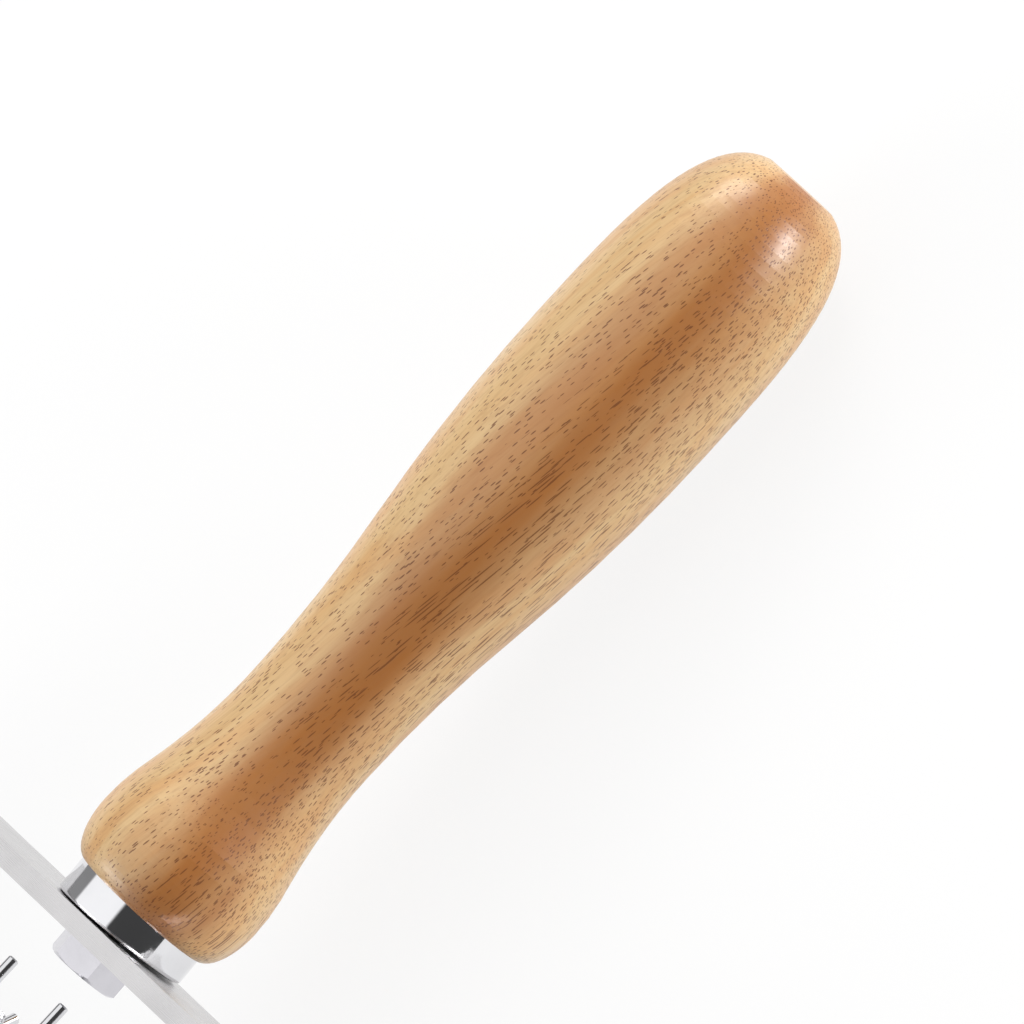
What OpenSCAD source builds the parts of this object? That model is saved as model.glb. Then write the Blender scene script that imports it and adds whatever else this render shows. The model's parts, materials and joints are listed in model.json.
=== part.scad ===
// Dough docker: a turned wooden handle bolted to a bent steel yoke, which
// carries a free-turning drilled barrel with staggered rows of steel pins.
// It lies as it would on a worktop, on the pins and on the handle's swell,
// with the handle towards +Y and the barrel's axle along X.
// Each piece is drawn in the tool's own frame, with its origin in the middle
// of the axle and +Y towards the handle, and lying() then sets it down.

/* [Handle] */
// Length of the wood from its front rim to the butt
handle_length = 131; // [115:1:150]
// Diameter where the wood begins
front_d = 20.2; // [19:0.1:21]
// Diameter of the round shoulder
shoulder_d = 27.2; // [25:0.1:30]
// Distance of the shoulder's crest from the front
shoulder_at = 7.8; // [6:0.1:10]
// Diameter of the waist
waist_d = 21.1; // [20:0.1:24]
// Distance of the waist from the front
waist_at = 33.5; // [30:0.5:40]
// Diameter of the swell in the palm
swell_d = 29.7; // [26:0.1:34]
// Distance of the swell's crest from the front
swell_at = 95.6; // [85:0.2:100]
// Diameter of the flat on the butt
butt_flat_d = 11.2; // [8:0.1:14]
// How square the butt's rounding is, where 2 is an ellipse
butt_squareness = 3.2; // [2.4:0.1:4]
// How far the handle leans from square to the crossbar, in degrees
handle_lean = 2.2; // [0:0.1:3]
// How far the handle and its cup stand to the +X side of the bolt's middle
handle_offset = 0.6; // [0:0.1:0.8]

/* [Ferrule] */
// Outer diameter of the cup
ferrule_d = 20.8; // [20:0.1:21]
// Height of the cup
ferrule_h = 5.5; // [5.2:0.1:6]
// Thickness of its wall and floor
ferrule_wall = 0.8; // [0.6:0.1:1]
// Radius of its drawn bottom edge
ferrule_corner = 0.6; // [0.4:0.1:0.7]
// How far the cup sits askew on the crossbar, in degrees
ferrule_lean = 1.1; // [0:0.1:1.2]
// Distance from the crossbar to the front of the wood
wood_standoff = 4.9; // [4.7:0.1:5.1]

/* [Yoke] */
// Width of the flat bar
bar_w = 22; // [18:1:26]
// Thickness of the flat bar
bar_t = 3; // [2.5:0.5:4]
// Inner radius of the two bends
bend_r = 4; // [3:0.5:8]
// Gap from the pin tips to the crossbar
tip_gap = 8.8; // [7:0.1:12]

/* [Roller] */
// Outer diameter of the barrel
barrel_d = 42; // [38:1:50]
// Wall of the barrel
barrel_wall = 3; // [2:0.5:4]
// Length of the barrel with its end caps
roller_length = 122; // [110:1:150]
// Radius over the pin tips
tip_r = 32; // [29:0.5:36]
// Number of pin rows round the barrel
row_count = 10; // [8:2:12]
// Distance from pin to pin along a row
pin_pitch = 11; // [9:0.5:12]
// Least distance from a pin to the end of the roller
pin_margin = 5; // [4:0.5:8]
// Diameter of a pin
pin_d = 1.65; // [1.2:0.05:2]
// Chamfer on a pin's blunt tip
pin_chamfer = 0.2; // [0.1:0.05:0.3]
// Angle from straight down to the lowest row, towards the handle
roller_turn = 7.5; // [0:0.1:18]
// Where the roller stands along its end play, from the middle
roller_shift = -0.2; // [-1.2:0.1:1.2]

/* [Axle and fasteners] */
// Diameter of the axle in its bushes
axle_d = 8; // [7:0.5:10]
// Thread size of the axle's ends and of the handle bolt
thread_d = 6; // [5:0.5:6]
// Width across flats of the bolt head and the nuts
wrench_w = 10; // [9:0.5:11]
// Height of the bolt head
bolt_head_h = 4; // [3.5:0.1:4.5]
// Length of the bolt below its head
bolt_length = 20; // [18:1:25]
// How far the bolt head stopped turned when tightened, in degrees
bolt_turn = 14; // [0:1:59]
// End play of the roller between its thrust washers
end_play = 3; // [2.6:0.1:4]

/* [Hidden] */
$fn = 96;

// Clearances, each on the radius
running_gap = 0.05;
bolt_gap = 0.2;
seat_gap = 0.03;
cup_hole_gap = 1;
insert_gap = 0.2;

// Shape of the handle's curves
shoulder_share = 0.28;
waist_share = 0.43;
shoulder_steps = 10;
curve_steps = 9;
butt_steps = 18;
tenon_gap = 0.4;
lip_gap = 0.4;
recess_depth = 1.7;
tenon_short = 1.8;

// Threaded insert in the wood
insert_d = 10;
insert_length = 16;

// How far a cutting shape runs past the face that it cuts
over = 1;

// Washers and nuts
washer_face = 0.3;
washer_face_share = 0.9;
washer_d = 12;
washer_t = 1.6;
thrust_d = 16;
thrust_t = 1;
nut_hex_h = 5.5;
nut_height = 12;
nut_bore_depth = 8;
nut_spare = 1.2;
dome_step = 0.25;
hex_chamfer_spare = 0.15;
hex_chamfer_over = 0.1;

// End caps and bushes
cap_flange = 2;
cap_spigot = 4;
cap_hub_d = 18;
cap_hub_length = 10;
cap_dish_depth = 0.8;
cap_rim = 3;
bush_d = 11;
bush_flange_d = 15;
bush_flange = 1;

// How deep a pin and its hole start inside the barrel's bore
pin_hole_start = 2;

// Derived sizes
row_step = 360 / row_count;
pin_r = pin_d / 2;
pin_face_r = pin_r - pin_chamfer;
barrel_in_r = barrel_d / 2 - barrel_wall;
barrel_length = roller_length - 2 * cap_flange;
full_row = floor((roller_length / 2 - pin_margin) / pin_pitch) * 2 + 1;
arm_in = roller_length / 2 + bush_flange + end_play / 2 + thrust_t;
arm_out = arm_in + bar_t;
bar_under = tip_r + tip_gap;
bar_top = bar_under + bar_t;
wood_front = bar_top + wood_standoff;
hex_corner_r = wrench_w / 2 / cos(30);
nut_seat = arm_out + washer_t;
axle_end = nut_seat + nut_bore_depth - nut_spare;

function row_name(k) = str("pin_row_", k < 9 ? "0" : "", k + 1);

// Angle of a row from straight down towards the handle
function row_angle(k) = roller_turn + k * row_step;

// Two arcs that meet at a share of the way, from one radius to the next
function blend(x, share) =
    x < share ? x * x / share : 1 - (1 - x) * (1 - x) / (1 - share);

// The handle's outline as [distance from the front, radius]
shoulder_drop = (shoulder_d - front_d) / 2;
lip_r = ferrule_d / 2 + lip_gap;
lip_rise = (lip_r - front_d / 2) / shoulder_drop;
lip_start = acos(sqrt(1 - lip_rise * lip_rise));
shoulder_curve = [for (i = [0 : shoulder_steps])
    let (a = lip_start + (90 - lip_start) * i / shoulder_steps)
    [shoulder_at * (1 - cos(a)), front_d / 2 + shoulder_drop * sin(a)]];
waist_curve = [for (i = [1 : curve_steps])
    let (x = i / curve_steps)
    [shoulder_at + (waist_at - shoulder_at) * x,
     shoulder_d / 2 + (waist_d - shoulder_d) / 2 * blend(x, shoulder_share)]];
swell_curve = [for (i = [1 : curve_steps])
    let (x = i / curve_steps)
    [waist_at + (swell_at - waist_at) * x,
     waist_d / 2 + (swell_d - waist_d) / 2 * blend(x, waist_share)]];
flat_share = pow(1 - pow(butt_flat_d / swell_d, butt_squareness), 1 / butt_squareness);
butt_reach = (handle_length - swell_at) / flat_share;
flat_turn = acos(pow(butt_flat_d / swell_d, butt_squareness / 2));
butt_curve = [for (i = [1 : butt_steps])
    let (a = flat_turn * i / butt_steps)
    [swell_at + butt_reach * pow(sin(a), 2 / butt_squareness),
     swell_d / 2 * pow(cos(a), 2 / butt_squareness)]];
handle_curve = concat(shoulder_curve, waist_curve, swell_curve, butt_curve);

// How the tool lies: the axle's height over the pins that touch, then the
// tilt at which the handle comes down on the worktop
function pin_drop(a) = tip_r * cos(a) + pin_face_r * abs(sin(a));
axle_height = max([for (k = [0 : row_count - 1]) pin_drop(row_angle(k))]);
function axle_distance(p) = wood_front + p[0] * cos(handle_lean);
lying_tilt = min([for (p = handle_curve)
    asin(axle_height / norm([axle_distance(p), p[1]])) - atan2(p[1], axle_distance(p))]);
axis_share = cos(handle_lean) * cos(lying_tilt);
butt_end_y = wood_front * cos(lying_tilt)
    + max([for (p = handle_curve) p[0] * axis_share + p[1] * sqrt(1 - axis_share * axis_share)]);
roller_end_y = max([for (k = [0 : row_count - 1]) pin_drop(row_angle(k) + 90)]);
middle_y = (butt_end_y - roller_end_y) / 2;

// Sets the tool down on z = 0 with its outline centred on the origin
module lying() {
    translate([0, -middle_y, axle_height])
        rotate([-lying_tilt, 0, 0])
            children();
}

// Turns a shape drawn along Z to run along Y from a given distance
module along_y(y) {
    translate([0, y, 0])
        rotate([-90, 0, 0])
            children();
}

// Turns a shape drawn along Z to run along X, outwards on the given side
module along_x(side, x) {
    translate([side * x, 0, 0])
        rotate([0, side * 90, 0])
            children();
}

// The handle's axis, which leans a little where the wood begins
module leaning_handle() {
    translate([handle_offset, wood_front, 0])
        rotate([0, 0, -handle_lean])
            rotate([-90, 0, 0])
                children();
}

// The roller's own frame, along its end play
module on_roller() {
    translate([roller_shift, 0, 0])
        children();
}

// A ring, its hole and its height along Z
module ring(outer_d, inner_d, h) {
    difference() {
        cylinder(d = outer_d, h = h);
        translate([0, 0, -over])
            cylinder(d = inner_d, h = h + 2 * over);
    }
}

// A hexagon whose far edge is chamfered to the circle across its flats
module chamfered_hex(h) {
    chamfer = (hex_corner_r - wrench_w / 2) * tan(30) + hex_chamfer_spare;
    start_r = hex_corner_r + hex_chamfer_over;
    intersection() {
        cylinder(r = hex_corner_r, h = h, $fn = 6);
        union() {
            cylinder(r = hex_corner_r + over, h = h - chamfer);
            translate([0, 0, h - chamfer])
                cylinder(r1 = start_r, r2 = start_r - chamfer / tan(30), h = chamfer);
        }
    }
}

module handle() {
    tenon_r = ferrule_d / 2 - ferrule_wall - tenon_gap;
    tenon_end = -(wood_standoff - tenon_short);
    outline = concat(
        [[0, tenon_end], [tenon_r, tenon_end], [tenon_r, recess_depth], [lip_r, recess_depth]],
        [for (p = handle_curve) [p[1], p[0]]],
        [[0, handle_length]]);
    color("burlywood") lying() difference() {
        leaning_handle() rotate_extrude() polygon(outline);
        along_y(bar_top) cylinder(d = insert_d + 2 * seat_gap, h = tenon_short + insert_length + over);
    }
}

module handle_insert() {
    color("goldenrod") lying() along_y(bar_top + tenon_short + insert_gap)
        ring(insert_d, thread_d + 2 * running_gap, insert_length);
}

module handle_bolt() {
    color("lightgray") lying() {
        along_y(bar_under) cylinder(d = thread_d, h = bolt_length);
        along_y(bar_under - washer_face)
            cylinder(d = wrench_w * washer_face_share, h = washer_face);
        translate([0, bar_under - washer_face, 0])
            rotate([90, bolt_turn, 0])
                chamfered_hex(bolt_head_h - washer_face);
    }
}

// A drawn cup whose near side, towards -X, touches the crossbar
module ferrule() {
    r = ferrule_d / 2;
    color("gainsboro") lying()
        translate([handle_offset - r, bar_top, 0])
            rotate([0, 0, ferrule_lean])
                translate([r, 0, 0])
                    rotate([-90, 0, 0])
                        rotate_extrude()
                            difference() {
                                union() {
                                    square([r - ferrule_corner, ferrule_h]);
                                    translate([0, ferrule_corner])
                                        square([r, ferrule_h - ferrule_corner]);
                                    translate([r - ferrule_corner, ferrule_corner])
                                        circle(r = ferrule_corner);
                                }
                                square([thread_d / 2 + cup_hole_gap, ferrule_h]);
                                translate([0, ferrule_wall])
                                    square([r - ferrule_wall, ferrule_h]);
                            }
}

// Flat bar bent into a U, with rounded arm ends drilled for the axle
module yoke() {
    bend_out = bend_r + bar_t;
    color("silver") lying() difference() {
        union() {
            translate([-arm_out + bend_out, bar_under, -bar_w / 2])
                cube([2 * (arm_out - bend_out), bar_t, bar_w]);
            for (side = [-1, 1]) {
                translate([side * (arm_in + bar_t / 2), (bar_top - bend_out) / 2, 0])
                    cube([bar_t, bar_top - bend_out, bar_w], center = true);
                translate([side * (arm_out - bend_out), bar_top - bend_out, -bar_w / 2])
                    mirror([side < 0 ? 1 : 0, 0, 0])
                        rotate_extrude(angle = 90)
                            translate([bend_r, 0])
                                square([bar_t, bar_w]);
                along_x(side, arm_in) cylinder(d = bar_w, h = bar_t);
            }
        }
        for (side = [-1, 1])
            along_x(side, arm_in - over) cylinder(d = thread_d + 2 * bolt_gap, h = bar_t + 2 * over);
        along_y(bar_under - over) cylinder(d = thread_d + 2 * bolt_gap, h = bar_t + 2 * over);
    }
}

// Steel rod whose shoulders the arms are clamped against
module axle() {
    color("silver") lying() {
        along_x(1, -arm_in) cylinder(d = axle_d, h = 2 * arm_in);
        along_x(1, -axle_end) cylinder(d = thread_d, h = 2 * axle_end);
    }
}

module cap_nuts() {
    dome_r = wrench_w / 2 - dome_step;
    color("gainsboro") lying()
        for (side = [-1, 1])
            along_x(side, nut_seat)
                difference() {
                    union() {
                        chamfered_hex(nut_hex_h);
                        cylinder(r = dome_r, h = nut_height - dome_r);
                        translate([0, 0, nut_height - dome_r])
                            rotate_extrude()
                                intersection() {
                                    circle(r = dome_r);
                                    square(dome_r);
                                }
                    }
                    translate([0, 0, -over])
                        cylinder(d = thread_d + 2 * running_gap, h = nut_bore_depth + over);
                }
}

module outer_washers() {
    color("silver") lying()
        for (side = [-1, 1])
            along_x(side, arm_out) ring(washer_d, thread_d + 2 * bolt_gap, washer_t);
}

module thrust_washers() {
    color("silver") lying()
        for (side = [-1, 1])
            along_x(side, arm_in - thrust_t) ring(thrust_d, axle_d + 2 * bolt_gap, thrust_t);
}

// The tube, drilled through its wall for every pin
module roller_barrel() {
    color("gainsboro") lying() on_roller() difference() {
        along_x(1, -barrel_length / 2)
            ring(barrel_d, 2 * barrel_in_r, barrel_length);
        for (k = [0 : row_count - 1])
            each_pin(k) cylinder(r = pin_r + seat_gap, h = barrel_wall + 2 * pin_hole_start);
    }
}

// Flanged disc with a spigot in the barrel and a hub for the bush
module end_cap(side) {
    spigot_r = barrel_in_r - seat_gap;
    color("silver") lying() on_roller() along_x(side, roller_length / 2)
        rotate([180, 0, 0])
            rotate_extrude()
                difference() {
                    union() {
                        square([barrel_d / 2, cap_flange]);
                        square([spigot_r, cap_flange + cap_spigot]);
                        square([cap_hub_d / 2, cap_hub_length]);
                    }
                    square([bush_d / 2 + seat_gap, cap_hub_length]);
                    translate([cap_hub_d / 2, 0])
                        square([barrel_d / 2 - cap_rim - cap_hub_d / 2, cap_dish_depth]);
                    translate([cap_hub_d / 2, cap_flange])
                        square([spigot_r - cap_flange - cap_hub_d / 2, cap_spigot]);
                }
}

// Flanged sleeve that turns on the axle
module bush(side) {
    color("peru") lying() on_roller() along_x(side, roller_length / 2)
        difference() {
            union() {
                cylinder(d = bush_flange_d, h = bush_flange);
                translate([0, 0, -cap_hub_length])
                    cylinder(d = bush_d, h = cap_hub_length);
            }
            translate([0, 0, -cap_hub_length - over])
                cylinder(d = axle_d + 2 * running_gap, h = cap_hub_length + bush_flange + 2 * over);
        }
}

// Puts a child that stands on Z just inside the barrel's inner wall for each pin of a row.
// Odd rows are set half a pitch along and have one pin less.
module each_pin(k) {
    count = full_row - k % 2;
    for (i = [0 : count - 1])
        translate([(i - (count - 1) / 2) * pin_pitch, 0, 0])
            rotate([180 + row_angle(k) + lying_tilt, 0, 0])
                translate([0, 0, barrel_in_r - pin_hole_start])
                    children();
}

module pin_row(k) {
    length = tip_r - barrel_in_r;
    color("whitesmoke") lying() on_roller() each_pin(k) {
        translate([0, 0, pin_hole_start])
            cylinder(r = pin_r, h = length - pin_chamfer);
        translate([0, 0, pin_hole_start + length - pin_chamfer])
            cylinder(r1 = pin_r, r2 = pin_face_r, h = pin_chamfer);
    }
}

handle();
handle_insert();
handle_bolt();
ferrule();
yoke();
axle();
cap_nuts();
outer_washers();
thrust_washers();
roller_barrel();
end_cap(-1);  // end_cap_left
end_cap(1);  // end_cap_right
bush(-1);  // bush_left
bush(1);  // bush_right
for (k = [0 : row_count - 1])
    pin_row(k);
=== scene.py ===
import json
import math

import bpy
from mathutils import Matrix, Vector

# Handle: its length in metres, and the slant of its grain in degrees
HANDLE_LENGTH = 0.131
GRAIN_SLANT = 10

# Heartwood stripe, in degrees around the handle from straight up: its middle, and how far from
# there it starts and ends fading. The stripe also paints in the shade band that the lighting puts
# on this side of the handle, so it is partly heartwood and partly painted shade
STRIPE_TURN = 45
STRIPE_INNER = 5
STRIPE_OUTER = 60
# How far its border wanders, in radians, its waves per millimetre, their stretch along the handle
# and the share of the darker colour, which is partly heartwood and partly painted shade
STRIPE_WANDER = 1.5
STRIPE_WAVES = 0.12
STRIPE_STRETCH = (1, 1, 0.03)
STRIPE_SHARE = 0.88

# Colours of the wood
PALE_WOOD = (0.62, 0.42, 0.205)
HONEY_WOOD = (0.58, 0.335, 0.140)
# Heartwood colour, made darker than the wood alone so that it also paints in the lighting's shade band
HEART_WOOD_AND_SHADE = (0.31, 0.098, 0.015)
STREAK_WOOD = (0.33, 0.145, 0.05)
PORE_BROWN = (0.13, 0.036, 0.008)

# Growth bands and fibres: how much the grain stretches them, waves per millimetre across it, and
# the share of the streaks' colour
FIBRE_STRETCH = (1, 1, 0.04)
BAND_WAVES = 0.22
FIBRE_WAVES = 2.4
STREAK_SHARE = 0.30

# Pores: short dashes all round, and long lines on the side at this turn in degrees. Each has its
# stretch along the grain, cells per millimetre, radius in cells and softness of its edge
LONG_PORE_TURN = 100
SHORT_STRETCH = (1, 1, 0.18)
SHORT_CELLS = 2.5
SHORT_RADIUS = (0.15, 0.25)
SHORT_FEWER = 0.08
SHORT_EDGE = 0.05
CROWD_WAVES = 0.09
LONG_STRETCH = (1, 1, 0.03)
LONG_CELLS = 3.0
LONG_RADIUS = (0.08, 0.27)
LONG_EDGE = 0.06
LONG_SHARE = 0.9
PORE_SHARE = 0.85

# Lacquer: roughness over smooth and coarse fibres, what a pore adds, coat, and relief in metres
WOOD_ROUGHNESS = (0.34, 0.44)
PORE_ROUGHNESS = 0.08
COAT = 0.15
COAT_ROUGHNESS = 0.22
FIBRE_RELIEF = 0.3
WOOD_BUMP = 0.15
BUMP_DEPTH = 0.0001

# Metals: colour, least roughness, how much more it gets, stretch of the brush lines, lines per
# millimetre and strength of the relief
PLAIN_STRETCH = (1, 1, 1)
METALS = {
    "chrome": ((0.80, 0.80, 0.82), 0.04, 0.04, PLAIN_STRETCH, 3.0, 0.008),
    "yoke_steel": ((0.62, 0.61, 0.615), 0.24, 0.08, (0.05, 1, 1), 5.0, 0.015),
    "plated_steel": ((0.70, 0.69, 0.73), 0.16, 0.08, PLAIN_STRETCH, 3.0, 0.012),
    "barrel_steel": ((0.72, 0.72, 0.73), 0.24, 0.12, (1, 0.1, 0.1), 4.0, 0.03),
    "cap_steel": ((0.66, 0.66, 0.67), 0.28, 0.12, PLAIN_STRETCH, 3.0, 0.03),
    "pin_steel": ((0.76, 0.76, 0.78), 0.10, 0.06, PLAIN_STRETCH, 3.0, 0.03),
    "brass": ((0.72, 0.50, 0.22), 0.26, 0.12, PLAIN_STRETCH, 3.0, 0.03),
}
CLOUD_WAVES = 0.12
CLOUD_SHADE = 0.9

# Which node has which metal. The rows of pins, the only nodes not named here, have pin_steel
NODE_METALS = {
    "handle_insert": "brass", "handle_bolt": "plated_steel", "ferrule": "chrome",
    "yoke": "yoke_steel", "axle": "plated_steel", "cap_nuts": "chrome",
    "outer_washers": "plated_steel", "thrust_washers": "plated_steel",
    "roller_barrel": "barrel_steel", "end_cap_left": "cap_steel", "end_cap_right": "cap_steel",
    "bush_left": "brass", "bush_right": "brass",
}

# Broken edges of the cut and turned steel: width in metres and the least angle in degrees
BROKEN_EDGE = 0.00022
BROKEN_ANGLE = 50
BROKEN_EDGE_NODES = ("yoke", "handle_bolt", "outer_washers", "thrust_washers",
                     "end_cap_left", "end_cap_right")

# Floor: its size in metres, its two greys, and how white the camera and mirrors see it
FLOOR_SIZE = 6
FLOOR_GREYS = ((0.88, 0.88, 0.88), (0.9, 0.9, 0.9))
FLOOR_WAVES = 0.02
FLOOR_ROUGHNESS = 0.6
FLOOR_SPECULAR = 0.1
FLOOR_WHITENESS = 0.87

# Soft lamps: place, the point that each looks at, size in metres and power in watts
LAMPS = {
    "soft_over_butt": ((-0.75, 1.15, 0.75), (0, 0, 0.03), (0.8, 0.6), 12),
    "soft_over_roller": ((-0.75, -1.15, 0.75), (0, 0, 0.03), (0.8, 0.6), 9),
    "low_right": ((1.05, 0.95, 0.22), (0, 0.03, 0.03), (0.5, 0.35), 18),
}

# World: turns from straight up towards +X in degrees, the light that starts at each and what it
# adds, and half the width of each border
WORLD_STEPS = ((-58, 0.28, 1.12), (11, 0.0, -1.06))
WORLD_EDGE = 3

# Camera, in the tool's own frame: its turn from square to the crossbar, its place along the
# handle, its distance, its lens and sensor in millimetres, the point it looks at and its roll
CAMERA_YAW = math.radians(33)
CAMERA_ALONG = 0.1773
CAMERA_DISTANCE = 1.75
CAMERA_LENS = 460
CAMERA_SENSOR = 36
CAMERA_CLIP = (0.05, 20)
AIM_ALONG = 0.12145
AIM_SIDE = 0.00364
CAMERA_ROLL = math.radians(40.58)

MM_PER_METRE = 1000

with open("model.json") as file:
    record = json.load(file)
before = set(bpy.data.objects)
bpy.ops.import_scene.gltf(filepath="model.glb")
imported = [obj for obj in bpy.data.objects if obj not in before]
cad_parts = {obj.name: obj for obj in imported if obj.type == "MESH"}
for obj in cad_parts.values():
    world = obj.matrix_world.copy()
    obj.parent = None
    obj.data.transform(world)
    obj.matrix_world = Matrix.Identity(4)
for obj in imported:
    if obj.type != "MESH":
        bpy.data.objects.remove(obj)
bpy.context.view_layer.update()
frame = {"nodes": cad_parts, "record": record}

# The tool's own frame, with its origin in the middle of the axle, and the handle's axes
AXLE = Vector(frame["record"]["behaviour"]["joints"][0]["pos_m"])
BUTT = frame["record"]["mounts"][0]
BUTT_AXIS = Vector(BUTT["axis"])
TILT = math.atan2(-BUTT_AXIS.z, BUTT_AXIS.y)
LEAN = math.asin(BUTT_AXIS.x)
LYING = Matrix.Translation(AXLE) @ Matrix.Rotation(-TILT, 4, "X")
HANDLE_AXES = (Matrix.Translation(Vector(BUTT["pos_m"]) - BUTT_AXIS * HANDLE_LENGTH)
               @ Matrix.Rotation(-TILT, 4, "X") @ Matrix.Rotation(-LEAN, 4, "Z")
               @ Matrix.Rotation(math.radians(-90), 4, "X"))


class Nodes:
    """Short calls for building one material's node tree."""

    def __init__(self, name):
        self.mat = bpy.data.materials.new(name)
        self.mat.use_nodes = True
        self.tree = self.mat.node_tree
        self.shader = self.tree.nodes["Principled BSDF"]

    def add(self, kind, **values):
        node = self.tree.nodes.new(kind)
        for key, value in values.items():
            setattr(node, key, value)
        return node

    def put(self, value, socket):
        if isinstance(value, bpy.types.NodeSocket):
            self.tree.links.new(value, socket)
        elif isinstance(value, (tuple, list)) and len(value) == 3 and socket.type == "RGBA":
            socket.default_value = (*value, 1)
        else:
            socket.default_value = value

    def math(self, operation, a, b=0.0):
        node = self.add("ShaderNodeMath", operation=operation)
        self.put(a, node.inputs[0])
        self.put(b, node.inputs[1])
        return node.outputs[0]

    def mix(self, share, a, b):
        node = self.add("ShaderNodeMix", data_type="RGBA")
        self.put(share, node.inputs["Factor"])
        self.put(a, node.inputs[6])
        self.put(b, node.inputs[7])
        return node.outputs[2]

    def range(self, value, low, high, out_low=0.0, out_high=1.0):
        node = self.add("ShaderNodeMapRange", interpolation_type="SMOOTHSTEP")
        for socket, item in zip(node.inputs, (value, low, high, out_low, out_high)):
            self.put(item, socket)
        return node.outputs[0]

    def noise(self, vector, scale, detail=2.0, rough=0.5, distortion=0.0):
        node = self.add("ShaderNodeTexNoise")
        self.put(vector, node.inputs["Vector"])
        node.inputs["Scale"].default_value = scale
        node.inputs["Detail"].default_value = detail
        node.inputs["Roughness"].default_value = rough
        node.inputs["Distortion"].default_value = distortion
        return node.outputs["Fac"]

    def place(self, matrix):
        """Object coordinates in another frame, in millimetres."""
        coords = self.add("ShaderNodeTexCoord").outputs["Object"]
        back = matrix.inverted()
        node = self.add("ShaderNodeMapping", vector_type="POINT")
        node.inputs["Location"].default_value = back.translation * MM_PER_METRE
        node.inputs["Rotation"].default_value = back.to_euler("XYZ")
        node.inputs["Scale"].default_value = (MM_PER_METRE,) * 3
        self.put(coords, node.inputs["Vector"])
        return node.outputs[0]

    def stretch(self, vector, factors):
        node = self.add("ShaderNodeVectorMath", operation="MULTIPLY")
        self.put(vector, node.inputs[0])
        node.inputs[1].default_value = factors
        return node.outputs[0]

    def bump(self, height, strength):
        node = self.add("ShaderNodeBump")
        node.inputs["Strength"].default_value = strength
        node.inputs["Distance"].default_value = BUMP_DEPTH
        self.put(height, node.inputs["Height"])
        self.put(node.outputs[0], self.shader.inputs["Normal"])

    def set(self, **values):
        for key, value in values.items():
            self.put(value, self.shader.inputs[key.replace("_", " ")])


def pore_layer(n, where, scale, radius, soft):
    """Fine tubes along the grain, cut by the turned surface as dashes and, near its ends, as dots."""
    cells = n.add("ShaderNodeTexVoronoi", feature="F1")
    n.put(where, cells.inputs["Vector"])
    cells.inputs["Scale"].default_value = scale
    inside = n.math("SUBTRACT", cells.outputs["Distance"], radius)
    return n.range(inside, 0.0, soft, 1.0, 0.0)


def heart_stripe_and_shade(n, turn, where):
    """Heartwood stripe along one side, with a wandering border, that also paints in the lighting's shade
    band on that side.
    """
    wander = n.math("SUBTRACT", n.noise(where, STRIPE_WAVES, 3, 0.5), 0.5)
    turned = n.math("SUBTRACT", turn, math.radians(STRIPE_TURN))
    off = n.math("ABSOLUTE", n.math("ADD", turned, n.math("MULTIPLY", wander, STRIPE_WANDER)))
    return n.range(off, math.radians(STRIPE_INNER), math.radians(STRIPE_OUTER), 1.0, 0.0)


def wood_pores(n, turn, grain):
    """Short pores on one side and long ones on the other."""
    facing = n.math("COSINE", n.math("SUBTRACT", turn, math.radians(LONG_PORE_TURN)))
    long_side = n.range(facing, -0.1, 0.7)
    crowd = n.range(n.noise(grain, CROWD_WAVES, 2, 0.5), 0.35, 0.65, *SHORT_RADIUS)
    crowd = n.math("SUBTRACT", crowd, n.math("MULTIPLY", long_side, SHORT_FEWER))
    dashes = pore_layer(n, n.stretch(grain, SHORT_STRETCH), SHORT_CELLS, crowd, SHORT_EDGE)
    reach = n.range(long_side, 0.0, 1.0, *LONG_RADIUS)
    lines = pore_layer(n, n.stretch(grain, LONG_STRETCH), LONG_CELLS, reach, LONG_EDGE)
    return n.math("MAXIMUM", dashes, n.math("MULTIPLY", lines, LONG_SHARE))


def wood_material():
    n = Nodes("lacquered_wood")
    grain = n.place(HANDLE_AXES @ Matrix.Rotation(math.radians(GRAIN_SLANT), 4, "Y"))
    fibres = n.stretch(grain, FIBRE_STRETCH)
    around = n.place(HANDLE_AXES)
    split = n.add("ShaderNodeSeparateXYZ")
    n.put(around, split.inputs[0])
    turn = n.math("ARCTAN2", split.outputs[0], n.math("MULTIPLY", split.outputs[1], -1.0))

    # Partly heartwood, partly painted shade where the lighting leaves a dark band along the handle
    stripe = heart_stripe_and_shade(n, turn, n.stretch(around, STRIPE_STRETCH))
    broad = n.range(n.noise(fibres, BAND_WAVES, 3, 0.55, 0.5), 0.36, 0.66)
    fine = n.noise(fibres, FIBRE_WAVES, 3, 0.65)
    tone = n.mix(broad, PALE_WOOD, HONEY_WOOD)
    tone = n.mix(n.math("MULTIPLY", stripe, STRIPE_SHARE), tone, HEART_WOOD_AND_SHADE)
    tone = n.mix(n.math("MULTIPLY", n.range(fine, 0.42, 0.72), STREAK_SHARE), tone, STREAK_WOOD)

    dark = wood_pores(n, turn, grain)
    tone = n.mix(n.math("MULTIPLY", dark, PORE_SHARE), tone, PORE_BROWN)
    rough = n.range(fine, 0.3, 0.8, *WOOD_ROUGHNESS)
    rough = n.math("ADD", rough, n.math("MULTIPLY", dark, PORE_ROUGHNESS))
    n.set(Base_Color=tone, Roughness=rough, Coat_Weight=COAT, Coat_Roughness=COAT_ROUGHNESS)
    n.bump(n.math("SUBTRACT", n.math("MULTIPLY", fine, FIBRE_RELIEF), dark), WOOD_BUMP)
    return n.mat


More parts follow.
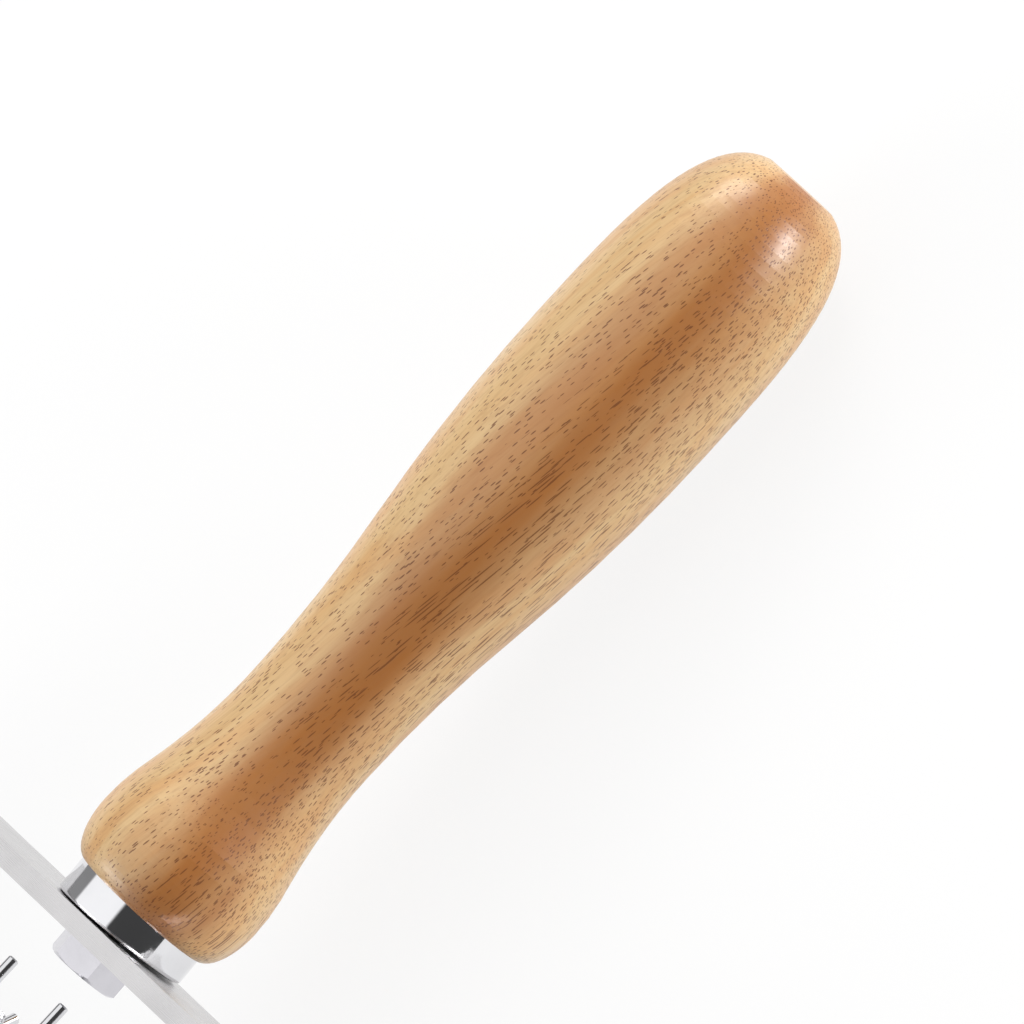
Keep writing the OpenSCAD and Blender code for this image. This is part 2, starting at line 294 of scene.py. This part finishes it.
def metal_material(name, color, rough, spread, stretch, grain, strength):
    n = Nodes(name)
    where = n.place(LYING)
    lines = n.noise(n.stretch(where, stretch), grain, 3, 0.6)
    cloud = n.range(n.noise(where, CLOUD_WAVES, 3, 0.5), 0.3, 0.75)
    shade = n.mix(cloud, color, tuple(part * CLOUD_SHADE for part in color))
    n.set(Base_Color=shade, Metallic=1.0, Roughness=n.range(lines, 0.3, 0.75, rough, rough + spread))
    n.bump(lines, strength)
    return n.mat


def paint_nodes():
    metals = {name: metal_material(name, *look) for name, look in METALS.items()}
    wood = wood_material()
    for name, node in frame["nodes"].items():
        look = wood if name == "handle" else metals[NODE_METALS.get(name, "pin_steel")]
        if not node.material_slots:
            node.data.materials.append(look)
        for slot in node.material_slots:
            slot.material = look


def add_floor():
    bpy.ops.mesh.primitive_plane_add(size=FLOOR_SIZE, location=(0, 0, 0))
    floor = bpy.context.object
    floor.name = "studio_floor"
    n = Nodes("floor_paint")
    cloud = n.noise(n.place(Matrix.Identity(4)), FLOOR_WAVES, 3)
    n.set(Base_Color=n.mix(cloud, *FLOOR_GREYS), Roughness=FLOOR_ROUGHNESS)
    n.set(Specular_IOR_Level=FLOOR_SPECULAR)
    rays = n.add("ShaderNodeLightPath")
    seen = n.math("MAXIMUM", rays.outputs["Is Camera Ray"], rays.outputs["Is Glossy Ray"])
    seen = n.math("MAXIMUM", seen, rays.outputs["Is Transmission Ray"])
    glow = n.add("ShaderNodeEmission")
    blend = n.add("ShaderNodeMixShader")
    n.put(n.math("MULTIPLY", seen, FLOOR_WHITENESS), blend.inputs[0])
    n.put(n.shader.outputs[0], blend.inputs[1])
    n.put(glow.outputs[0], blend.inputs[2])
    n.put(blend.outputs[0], n.tree.nodes["Material Output"].inputs["Surface"])
    floor.data.materials.append(n.mat)


def add_lamp(name, place, aim, size, power):
    data = bpy.data.lights.new(name, "AREA")
    data.shape = "RECTANGLE"
    data.size, data.size_y = size
    data.energy = power
    lamp = bpy.data.objects.new(name, data)
    lamp.location = place
    lamp.rotation_euler = (Vector(aim) - Vector(place)).to_track_quat("-Z", "Y").to_euler()
    bpy.context.scene.collection.objects.link(lamp)


def add_world():
    """A studio with a broad bright side, a dark side behind the camera and a dim band at the horizon."""
    world = bpy.data.worlds.new("studio")
    bpy.context.scene.world = world
    world.use_nodes = True
    tree = world.node_tree
    back = tree.nodes["Background"]
    back.inputs["Color"].default_value = (1, 1, 1, 1)
    coords = tree.nodes.new("ShaderNodeTexCoord")
    split = tree.nodes.new("ShaderNodeSeparateXYZ")
    tree.links.new(coords.outputs["Generated"], split.inputs[0])
    turn = tree.nodes.new("ShaderNodeMath")
    turn.operation = "ARCTAN2"
    tree.links.new(split.outputs[0], turn.inputs[0])
    tree.links.new(split.outputs[2], turn.inputs[1])
    last = None
    for edge, low, high in WORLD_STEPS:
        step = tree.nodes.new("ShaderNodeMapRange")
        step.interpolation_type = "SMOOTHSTEP"
        tree.links.new(turn.outputs[0], step.inputs[0])
        step.inputs[1].default_value = math.radians(edge - WORLD_EDGE)
        step.inputs[2].default_value = math.radians(edge + WORLD_EDGE)
        step.inputs[3].default_value = low
        step.inputs[4].default_value = high
        if last is None:
            last = step.outputs[0]
        else:
            add = tree.nodes.new("ShaderNodeMath")
            add.operation = "ADD"
            tree.links.new(last, add.inputs[0])
            tree.links.new(step.outputs[0], add.inputs[1])
            last = add.outputs[0]
    tree.links.new(last, back.inputs["Strength"])


def add_lamps():
    for name, lamp in LAMPS.items():
        add_lamp(name, *lamp)


def add_camera():
    eye = Vector((math.sin(CAMERA_YAW), 0, math.cos(CAMERA_YAW))) * CAMERA_DISTANCE
    eye.y = CAMERA_ALONG
    aside = Vector((math.cos(CAMERA_YAW), 0, -math.sin(CAMERA_YAW)))
    forward = (Vector((0, AIM_ALONG, 0)) + aside * AIM_SIDE - eye).normalized()
    along = (Vector((0, 1, 0)) - forward * forward.y).normalized()
    up = along * math.cos(CAMERA_ROLL) - forward.cross(along) * math.sin(CAMERA_ROLL)
    turn = Matrix((forward.cross(up), up, -forward)).transposed().to_4x4()
    data = bpy.data.cameras.new("photo_camera")
    data.sensor_width = CAMERA_SENSOR
    data.lens = CAMERA_LENS
    data.clip_start, data.clip_end = CAMERA_CLIP
    camera = bpy.data.objects.new("photo_camera", data)
    camera.matrix_world = LYING @ Matrix.Translation(eye) @ turn
    bpy.context.scene.collection.objects.link(camera)
    bpy.context.scene.camera = camera


def break_edges():
    """Small rounded edges on the cut and turned steel."""
    for name in BROKEN_EDGE_NODES:
        bevel = frame["nodes"][name].modifiers.new("broken_edge", "BEVEL")
        bevel.width = BROKEN_EDGE
        bevel.segments = 2
        bevel.limit_method = "ANGLE"
        bevel.angle_limit = math.radians(BROKEN_ANGLE)


break_edges()
paint_nodes()
add_floor()
add_world()
add_lamps()
add_camera()
bpy.context.scene.view_settings.view_transform = "Standard"
